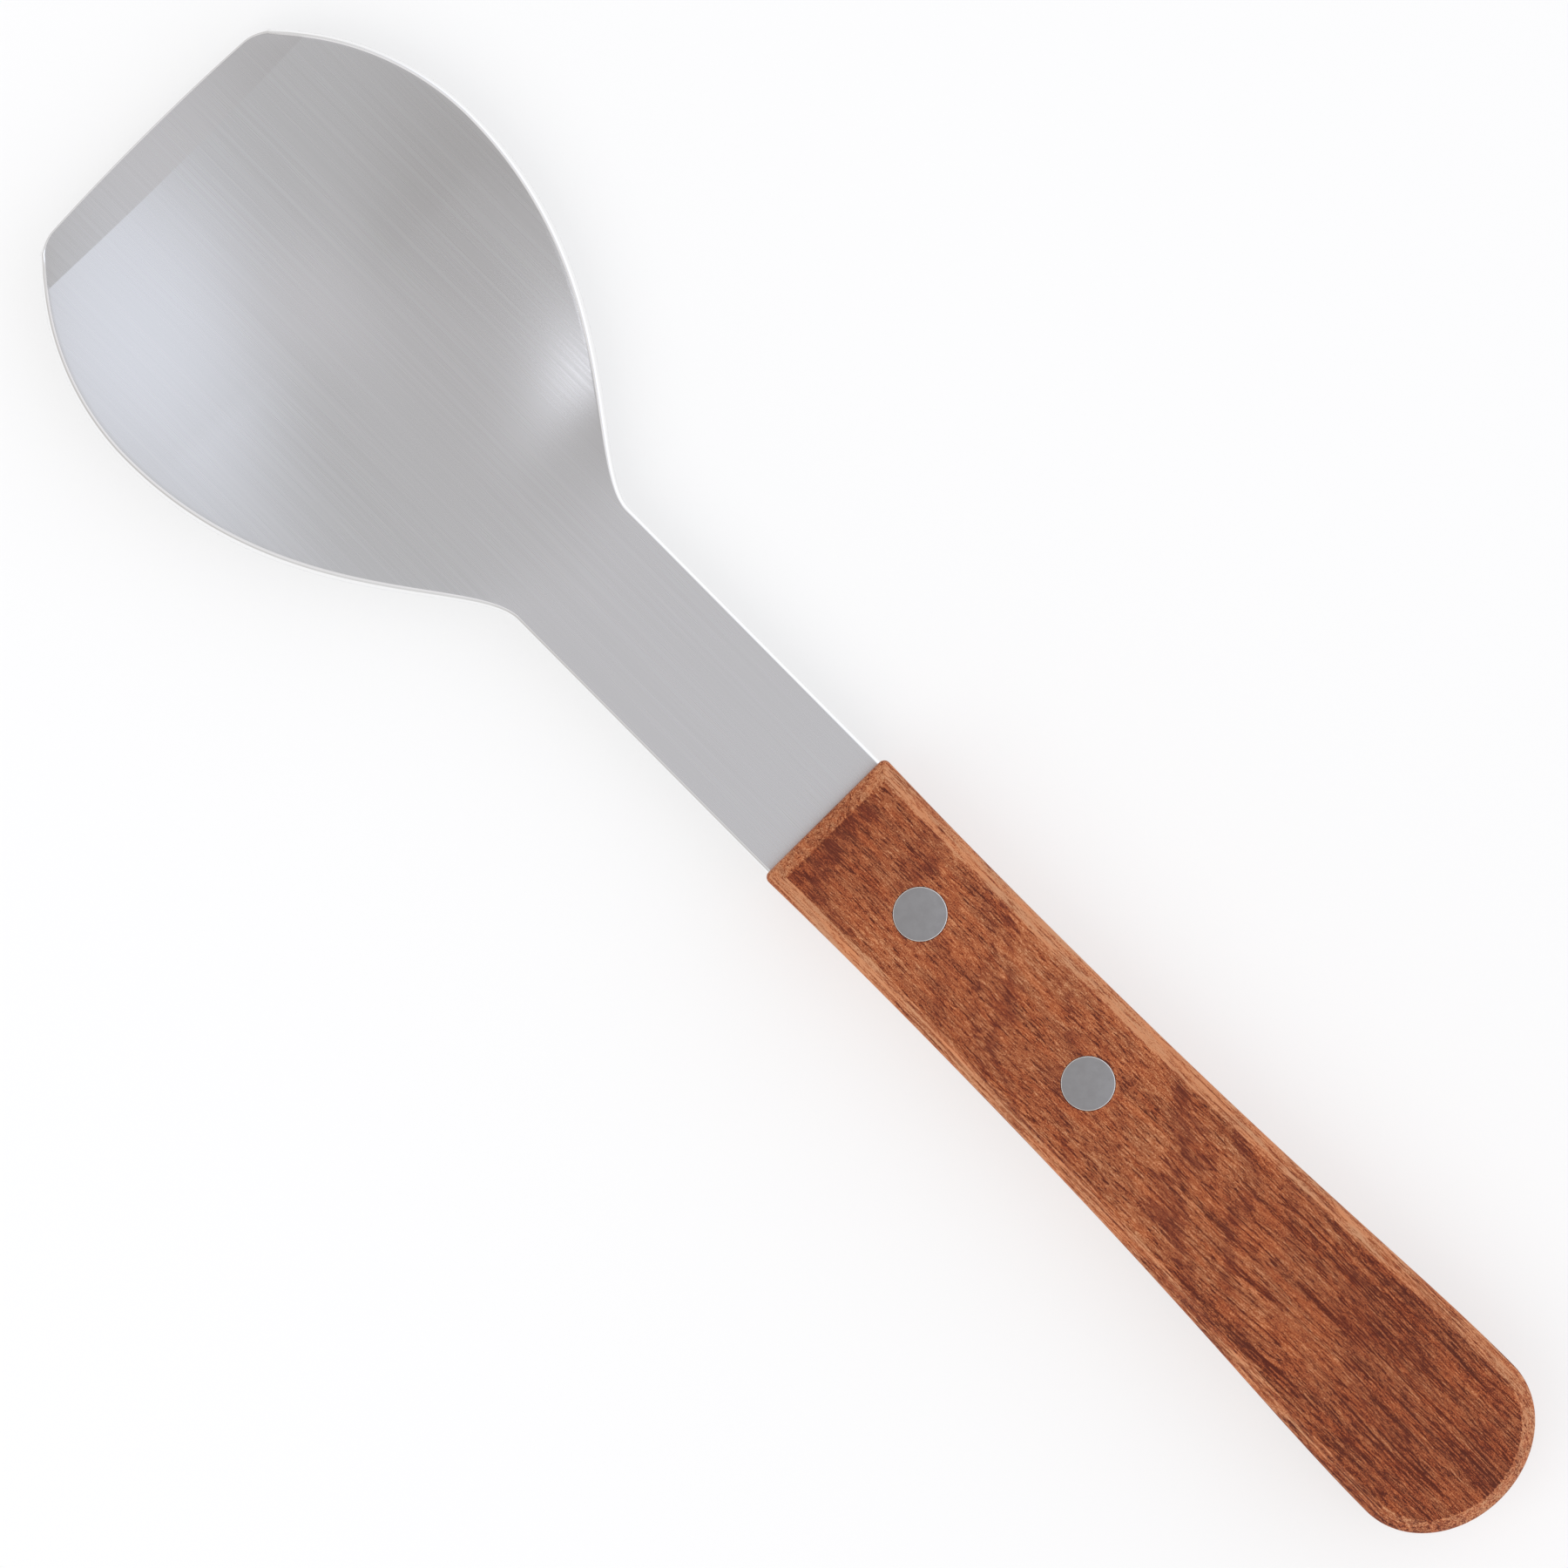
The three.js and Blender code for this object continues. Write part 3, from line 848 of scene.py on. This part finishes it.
def oiled_wood(size):
    """Reddish open-pored wood: growth bands, streaks along the fibres, paler bevels, a butt darkened partly
    by painted shade.
    """
    material = bpy.data.materials.new("oiled_wood")
    wood = Shading(material)
    place = wood.place((handle_high.x, 0, tang_level))
    back, across, up = wood.split(place)
    sway = wood.spread(wood.noise(place, (0.02, 0.06, 0.06)), 1.2)
    fibre = wood.combine(back, wood.total(across, sway), up)

    facing = wood.split(wood.add("ShaderNodeNewGeometry", output="Normal"))
    along = wood.math("ABSOLUTE", facing[0])
    end_grain = wood.remap(facing[0], 0.35, 0.65)
    # How much a face slants: the bevels are shown paler.
    slanting = wood.remap(wood.math("ABSOLUTE", facing[2]), 0.98, 0.75)
    lower_bevel = wood.times(slanting, wood.remap(across, 4.0, 8.0))

    pores = open_pores(wood, fibre, back)
    bands = wood.times(growth_bands(wood, place, fibre), wood.remap(slanting, 0.0, 1.0, 1.0, 0.3))
    mottle = wood.noise(fibre, (0.8, 4.5, 4.5), detail=3.0, roughness=0.8)
    streak = wood.noise(fibre, (0.07, 1.4, 1.4), detail=4.0, roughness=0.7)
    cloud = wood.noise(fibre, (0.06, 0.2, 0.2))
    grit = wood.noise(place, (6.0, 7.0, 7.0), detail=1.0)
    combed = wood.spread(wood.noise(fibre, (0.05, 2.2, 2.2), detail=3.0, roughness=0.7), 0.8)

    plain_wood = 0.66
    streaks = wood.times(wood.spread(streak, 1.0), wood.remap(back, 30.0, 90.0, 0.3, 0.36))
    darker_front = wood.remap(back, 2.0, 18.0, -0.15, 0.0)
    # Darker towards the butt: partly the wood's own tone, partly painted shade where the light falls off.
    butt_shade_and_tone = wood.remap(back, 45.0, 100.0, 0.0, -0.2)
    lower_bevel_tone = wood.remap(back, 8.0, 35.0, 0.12, -0.26)
    less_combed_ends = wood.remap(along, 0.3, 0.6, 1.0, 0.4)
    light = wood.total(
        plain_wood,
        wood.spread(mottle, 0.65),
        streaks,
        wood.spread(cloud, 0.18),
        darker_front,
        butt_shade_and_tone,
        wood.spread(grit, 0.42),
        wood.times(bands, -0.3),
        wood.times(pores, -0.5),
        wood.times(slanting, 0.46),
        wood.times(lower_bevel, lower_bevel_tone),
        wood.times(slanting, combed, less_combed_ends),
        wood.times(end_grain, -0.12),
    )
    tones = (
        (0.05, size.pore),
        (0.28, size.wood_deep),
        (0.5, size.wood),
        (0.78, size.wood_pale),
        (1.0, size.lightest_wood),
    )
    hue = wood.remap(wood.noise(fibre, (0.16, 0.9, 0.9), detail=3.0), 0.3, 0.7)
    tint = wood.mix(hue, size.olive, size.orange)
    tone = wood.add("ShaderNodeVectorMath", {0: wood.ramp(light, tones), 1: tint}, operation="MULTIPLY")
    wood.set(
        Base_Color=wood.mix(wood.times(bands, 0.45), tone, size.figure),
        Roughness=wood.total(0.48, wood.times(pores, 0.2)),
        Specular_IOR_Level=0.22,
        Normal=wood.bump(wood.math("SUBTRACT", wood.times(grit, 0.5), pores), 0.5, 0.06 * MM),
    )
    return material


def rivet_steel(size):
    """Dull ground heads with faint mottling and a painted highlight round their rims."""
    material = bpy.data.materials.new("rivet_steel")
    steel = Shading(material)
    place = steel.place((0, 0, tang_level))
    mottle = steel.noise(place, (0.9, 0.9, 0.9), detail=4.0, roughness=0.65)
    fine = steel.noise(place, (9.0, 9.0, 9.0))
    dull, bright = shades(size.steel, contrast=0.05)
    facing = steel.split(steel.add("ShaderNodeNewGeometry", output="Normal"))
    # Painted highlight: the rounded rim, where a head's face turns down, gets a lighter colour.
    rim = steel.remap(steel.math("ABSOLUTE", facing[2]), 0.99, 0.85)
    face = steel.mix(steel.remap(mottle, 0.3, 0.7), dull, bright)
    steel.set(
        Base_Color=steel.mix(rim, face, size.painted_rim_highlight),
        Metallic=1.0,
        Roughness=steel.remap(mottle, 0.3, 0.7, 0.3, 0.4),
        Normal=steel.bump(fine, 0.1, 0.01 * MM),
    )
    return material


def pale_floor(settings):
    """Floor that keeps the shadow: partly lit, partly plain white to the eye and in reflections."""
    material = bpy.data.materials.new("pale_floor")
    floor = Shading(material)
    floor.set(Base_Color=(*settings.floor, 1.0), Roughness=0.9)
    path = floor.nodes.new("ShaderNodeLightPath").outputs
    seen = floor.math("MAXIMUM", path["Is Camera Ray"], path["Is Glossy Ray"])
    seen = floor.math("MAXIMUM", seen, path["Is Transmission Ray"])
    white = floor.add("ShaderNodeEmission")
    lit = floor.nodes["Principled BSDF"].outputs[0]
    amount = floor.times(seen, settings.floor_white)
    mixed = floor.add("ShaderNodeMixShader", {0: amount, 1: lit, 2: white})
    floor.feed(floor.nodes["Material Output"].inputs["Surface"], mixed)
    return material


# Stage


def make_floor(settings):
    """Flat floor just under the spade."""
    bm = bmesh.new()
    bmesh.ops.create_grid(bm, x_segments=1, y_segments=1, size=settings.floor_reach)
    bmesh.ops.translate(bm, verts=bm.verts, vec=(0, 0, -settings.floor_gap))
    mesh = bpy.data.meshes.new("floor")
    bm.to_mesh(mesh)
    bm.free()
    mesh.materials.append(pale_floor(settings))
    floor = bpy.data.objects.new("floor", mesh)
    bpy.context.scene.collection.objects.link(floor)


def make_camera(settings):
    """Looks straight down, turned and placed so that the spade lies as in the picture."""
    per_pixel = (edge_x - handle_low.x) / settings.length_px
    right = Vector((-math.cos(settings.slope), -math.sin(settings.slope), 0))
    up = Vector((math.sin(settings.slope), -math.cos(settings.slope), 0))
    middle = settings.photo_size / 2
    offset_right = (settings.middle_px[0] - middle) * per_pixel
    offset_up = (middle - settings.middle_px[1]) * per_pixel
    aim = -(right * offset_right + up * offset_up)

    data = bpy.data.cameras.new("camera")
    data.sensor_width = 36.0
    data.lens = data.sensor_width * settings.camera_distance / (settings.photo_size * per_pixel)
    data.clip_start = 0.01
    camera = bpy.data.objects.new("camera", data)
    camera.location = (aim.x, aim.y, tang_level + settings.camera_distance)
    camera.rotation_euler = (0, 0, math.atan2(right.y, right.x))
    bpy.context.scene.collection.objects.link(camera)
    bpy.context.scene.camera = camera


def make_lamp(name, place, target, sides, power):
    """Rectangular lamp at a place, turned to a target."""
    data = bpy.data.lights.new(name, "AREA")
    data.shape = "RECTANGLE"
    data.size, data.size_y = sides
    data.energy = power
    lamp = bpy.data.objects.new(name, data)
    lamp.location = place
    lamp.rotation_euler = (Vector(target) - lamp.location).to_track_quat("-Z", "Y").to_euler()
    bpy.context.scene.collection.objects.link(lamp)
    return lamp


def make_lamps(settings):
    """Soft lamp for the wood, unseen in the steel, and a small narrow one for the shoulder's glint."""
    key_sides = (settings.key_width, settings.key_length)
    key = make_lamp("key_lamp", settings.key_place, (0, 0, 0), key_sides, settings.key_power)
    key.visible_glossy = False

    back, across, up = settings.glint_spot
    spot = Vector((edge_x - back, across, up))
    place = spot + settings.glint_distance * Vector(settings.glint_side)
    sides = (settings.glint_width, settings.glint_width)
    glint = make_lamp("glint_lamp", place, spot, sides, settings.glint_power * MILLIWATT)
    glint.data.spread = settings.glint_spread
    glint.data.color = settings.window
    glint.visible_diffuse = False
    glint.visible_camera = False


def make_sky(settings):
    """Sky with a wide cool window, a lighter top that reaches down on one side and a white wall low down."""
    world = bpy.data.worlds.new("sky")
    sky = Shading(world)
    direction = sky.add("ShaderNodeTexCoord", output="Generated")

    to_window = sky.remap(sky.dot(direction, Vector(settings.window_side)), -1.0, 1.0, kind="LINEAR")
    half_window = [0.4 * near + 0.6 * full for near, full in zip(settings.near_window, settings.window)]
    stops = (
        (0.25, settings.dim),
        (0.40, settings.even),
        (0.55, settings.even),
        (0.63, settings.near_window),
        (0.70, half_window),
        (0.78, settings.window),
    )
    light = sky.ramp(to_window, stops)
    height = sky.split(direction)[2]
    light = sky.mix(sky.remap(height, 0.92, 1.0), light, settings.overhead)
    to_pale = sky.dot(direction, Vector(settings.pale_side))
    light = sky.mix(sky.remap(to_pale, 0.88, 0.99, 0.0, 0.45), light, settings.overhead)
    light = sky.mix(sky.remap(height, 0.2, 0.5), settings.horizon, light)

    background = sky.nodes["Background"]
    sky.feed(background.inputs["Color"], light)
    sky.feed(background.inputs["Strength"], settings.sky)
    bpy.context.scene.world = world


# Operators


class SPADE_OT_blade(bpy.types.Operator):
    """Build the steel blade with its bowl, neck and tang"""

    bl_idname = "spade.blade"
    bl_label = "Blade"

    def execute(self, context):
        size = context.scene.spade_blade
        rivet = context.scene.spade_rivet
        blade = place_piece(build_blade(size), "blade_steel", "blade", brushed_steel(size))
        radius = rivet.tube / 2 + rivet.hole_clearance
        below, above = tang_level - 2 * size.sheet, tang_level + 2 * size.sheet
        cut(blade, *[upright_cutter(radius, below, above, middle_of(box)) for box in rivet_boxes.values()])
        return {"FINISHED"}


class SPADE_OT_handle(bpy.types.Operator):
    """Build the wooden handle with its slot and rivet holes"""

    bl_idname = "spade.handle"
    bl_label = "Handle"

    def execute(self, context):
        size = context.scene.spade_handle
        blade = context.scene.spade_blade
        rivet = context.scene.spade_rivet
        bm = build_handle(size, blade.neck_width / 2)
        handle = place_piece(bm, "handle_wood", "handle", oiled_wood(size))
        cutters = [slot_cutter(size, blade.sheet)]
        shank = rivet.tube / 2 + rivet.hole_clearance
        below, above = handle_low.z - CUT_PAST, handle_high.z + CUT_PAST
        for place in rivet_boxes:
            low, high = post_boxes[place][0], rivet_boxes[place][1]
            middle = middle_of(rivet_boxes[place])
            head = (high.x - rivet_boxes[place][0].x) / 2 + rivet.head_clearance
            cutters.append(upright_cutter(shank, below, above, middle))
            cutters.append(upright_cutter(head, high.z - rivet.head, above, middle))
            cutters.append(upright_cutter(head, below, low.z + rivet.head, middle))
        cut(handle, *cutters)
        return {"FINISHED"}


class SPADE_OT_rivets(bpy.types.Operator):
    """Build the two halves of both rivets"""

    bl_idname = "spade.rivets"
    bl_label = "Rivets"

    def execute(self, context):
        size = context.scene.spade_rivet
        material = rivet_steel(size)
        halves = (("tube", rivet_boxes, rivet_tube_profile), ("post", post_boxes, rivet_post_profile))
        for half, boxes, profile in halves:
            for place, box in boxes.items():
                bm = turned(profile(size, box), middle_of(box))
                node = f"{place}_rivet_{half}"
                place_piece(bm, f"{node}_steel", node, material)
        return {"FINISHED"}


class SPADE_OT_stage(bpy.types.Operator):
    """Set up the floor, the light and the camera"""

    bl_idname = "spade.stage"
    bl_label = "Stage"

    def execute(self, context):
        settings = context.scene.spade_stage
        context.scene.view_settings.view_transform = "Standard"
        make_floor(settings)
        make_camera(settings)
        make_sky(settings)
        make_lamps(settings)
        return {"FINISHED"}


class SPADE_PT_panel(bpy.types.Panel):
    """Buttons and sizes of the spade"""

    bl_idname = "SPADE_PT_panel"
    bl_label = "Ice Cream Spade"
    bl_space_type = "VIEW_3D"
    bl_region_type = "UI"
    bl_category = "Spade"

    def draw(self, context):
        groups = (
            (SPADE_OT_blade, context.scene.spade_blade),
            (SPADE_OT_handle, context.scene.spade_handle),
            (SPADE_OT_rivets, context.scene.spade_rivet),
            (SPADE_OT_stage, context.scene.spade_stage),
        )
        for operator, settings in groups:
            box = self.layout.box()
            box.operator(operator.bl_idname)
            for name in settings.bl_rna.properties.keys():
                if name not in ("rna_type", "name"):
                    box.prop(settings, name)


GROUPS = {
    "spade_blade": SPADE_PG_blade,
    "spade_handle": SPADE_PG_handle,
    "spade_rivet": SPADE_PG_rivet,
    "spade_stage": SPADE_PG_stage,
}
OPERATORS = (SPADE_OT_blade, SPADE_OT_handle, SPADE_OT_rivets, SPADE_OT_stage)


def register():
    """Adds the settings, operators and panel."""
    for name, group in GROUPS.items():
        bpy.utils.register_class(group)
        setattr(bpy.types.Scene, name, bpy.props.PointerProperty(type=group))
    for cls in (*OPERATORS, SPADE_PT_panel):
        bpy.utils.register_class(cls)


def unregister():
    """Takes the panel, operators and settings away."""
    for cls in (SPADE_PT_panel, *reversed(OPERATORS)):
        bpy.utils.unregister_class(cls)
    for name, group in GROUPS.items():
        delattr(bpy.types.Scene, name)
        bpy.utils.unregister_class(group)


def main():
    """Builds the stage and the spade."""
    register()
    bpy.ops.spade.stage()
    bpy.ops.spade.blade()
    bpy.ops.spade.handle()
    bpy.ops.spade.rivets()


if __name__ == "__main__":
    main()
